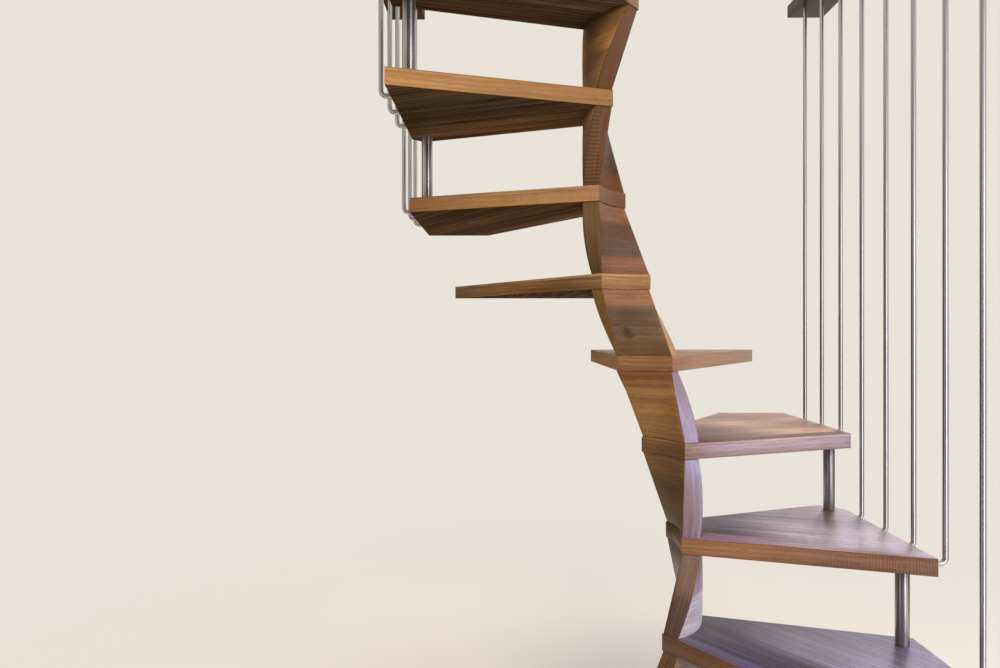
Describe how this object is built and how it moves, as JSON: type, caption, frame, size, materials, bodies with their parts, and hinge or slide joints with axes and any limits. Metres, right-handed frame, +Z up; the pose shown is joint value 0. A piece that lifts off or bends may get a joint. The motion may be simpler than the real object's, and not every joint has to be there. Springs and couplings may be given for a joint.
{
  "type": "spiral staircase",
  "caption": "Compact open wooden spiral stair on a rectangular plan: wedge treads on a twisted ribbon of blocks, with steel posts and thin rods hanging from rim boards.",
  "frame": {"origin": "on the floor, on the axis of the turn, at the middle of the base plate's underside", "axes": "+Z up; +Y towards the wall behind the stair; +X towards the side that the climb passes first"},
  "size_m": [1.476, 1.27, 2.365],
  "materials": {
    "tread_walnut": "oiled, lightly brushed laminated walnut",
    "spine_walnut": "oiled, sanded walnut blocks",
    "rim_wood": "dark stained hardwood, satin",
    "rod_steel": "satin stainless rod",
    "post_steel": "satin stainless tube",
    "base_steel": "brushed stainless plate"
  },
  "bodies": {
    "root": {"base_plate": "base_steel", "tread_01": "tread_walnut", "tread_02": "tread_walnut", "tread_03": "tread_walnut", "tread_04": "tread_walnut", "tread_05": "tread_walnut", "tread_06": "tread_walnut", "tread_07": "tread_walnut", "tread_08": "tread_walnut", "tread_09": "tread_walnut", "tread_10": "tread_walnut", "landing": "tread_walnut", "spine_block_01": "spine_walnut", "spine_block_02": "spine_walnut", "spine_block_03": "spine_walnut", "spine_block_04": "spine_walnut", "spine_block_05": "spine_walnut", "spine_block_06": "spine_walnut", "spine_block_07": "spine_walnut", "spine_block_08": "spine_walnut", "spine_block_09": "spine_walnut", "spine_block_10": "spine_walnut", "spine_block_11": "spine_walnut", "post_01": "post_steel", "post_02": "post_steel", "post_03": "post_steel", "post_04": "post_steel", "post_08": "post_steel", "post_09": "post_steel", "post_10": "post_steel", "post_11": "post_steel", "rods_tread_02": "rod_steel", "rods_tread_03": "rod_steel", "rods_tread_04": "rod_steel", "rods_tread_07": "rod_steel", "rods_tread_08": "rod_steel", "rods_tread_09": "rod_steel", "rim_board_right": "rim_wood", "rim_board_left": "rim_wood"}
  },
  "joints": []
}
